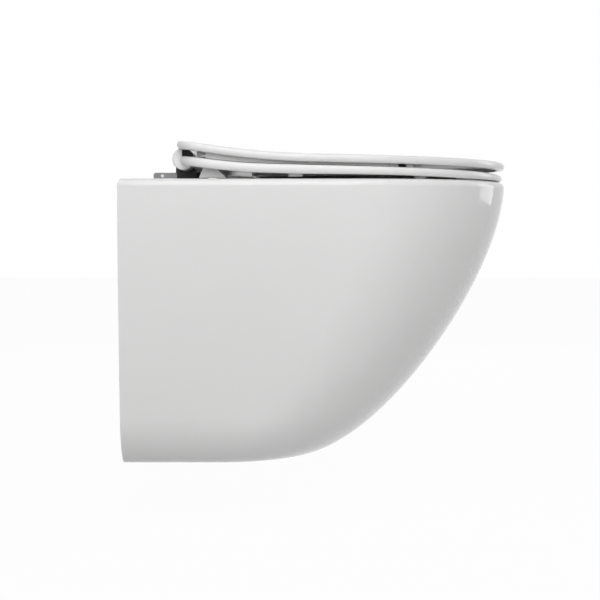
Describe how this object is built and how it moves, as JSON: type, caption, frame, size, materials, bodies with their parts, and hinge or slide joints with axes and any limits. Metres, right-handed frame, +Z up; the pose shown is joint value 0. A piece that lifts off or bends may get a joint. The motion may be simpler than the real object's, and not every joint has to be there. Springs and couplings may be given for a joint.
{
  "type": "wall hung toilet",
  "caption": "Wall hung toilet: shrouded ceramic pan with flat top and swept underside, slim soft-close seat ring and lid on round side barrels over low chrome hinge bases.",
  "frame": {"origin": "midway between the two wall bolts, on the wall plane", "axes": "+X out of the wall into the room, +Y across the toilet, +Z up; the picture looks along +Y"},
  "size_m": [0.49, 0.3644, 0.4017],
  "materials": {
    "ceramic": "glossy white glaze",
    "seat_plastic": "glossy white thermoset",
    "chrome": "polished",
    "steel": "plain zinc plated",
    "stainless": "ground",
    "post_plastic": "black moulded",
    "button_plastic": "light grey moulded",
    "soft_pad": "soft white elastomer",
    "seal_rubber": "soft dark grey",
    "fixing_plastic": "natural white moulded",
    "damper_plastic": "light grey moulded"
  },
  "bodies": {
    "pan": {"pan_shell": "ceramic", "bowl": "ceramic", "flush_channel": "ceramic", "trapway": "ceramic", "wall_bushings": "fixing_plastic", "wall_washers": "steel", "wall_nuts": "steel", "hinge_gaskets": "seal_rubber", "hinge_bases": "chrome", "set_screws": "stainless", "adjuster_discs": "fixing_plastic", "fixing_studs": "stainless", "expansion_bushes": "seal_rubber", "clamp_washers": "fixing_plastic", "wing_nuts": "fixing_plastic", "hinge_posts": "post_plastic", "axle_pins": "stainless"},
    "seat": {"seat_ring": "seat_plastic", "seat_rear_pads": "soft_pad", "seat_middle_pads": "soft_pad", "seat_front_pads": "soft_pad", "seat_damper": "damper_plastic", "seat_bush": "damper_plastic"},
    "lid": {"lid": "seat_plastic", "lid_pads": "soft_pad", "lid_damper": "damper_plastic", "lid_bush": "damper_plastic"},
    "button_right": {"release_button_right": "button_plastic"},
    "button_left": {"release_button_left": "button_plastic"}
  },
  "joints": [
    {"name": "seat_hinge", "type": "hinge", "parent": "pan", "child": "seat", "pos_m": [0.077, 0, 0.105], "axis": [0, -1, 0], "range_deg": [0, 93]},
    {"name": "lid_hinge", "type": "hinge", "parent": "seat", "child": "lid", "pos_m": [0.077, 0, 0.105], "axis": [0, -1, 0], "range_deg": [0, 95]},
    {"name": "release_right", "type": "slide", "parent": "pan", "child": "button_right", "axis": [-1, 0, 0], "range_m": [0, 0.0022], "stiffness_N_per_m": 400},
    {"name": "release_left", "type": "slide", "parent": "pan", "child": "button_left", "axis": [-1, 0, 0], "range_m": [0, 0.0022], "stiffness_N_per_m": 400}
  ]
}
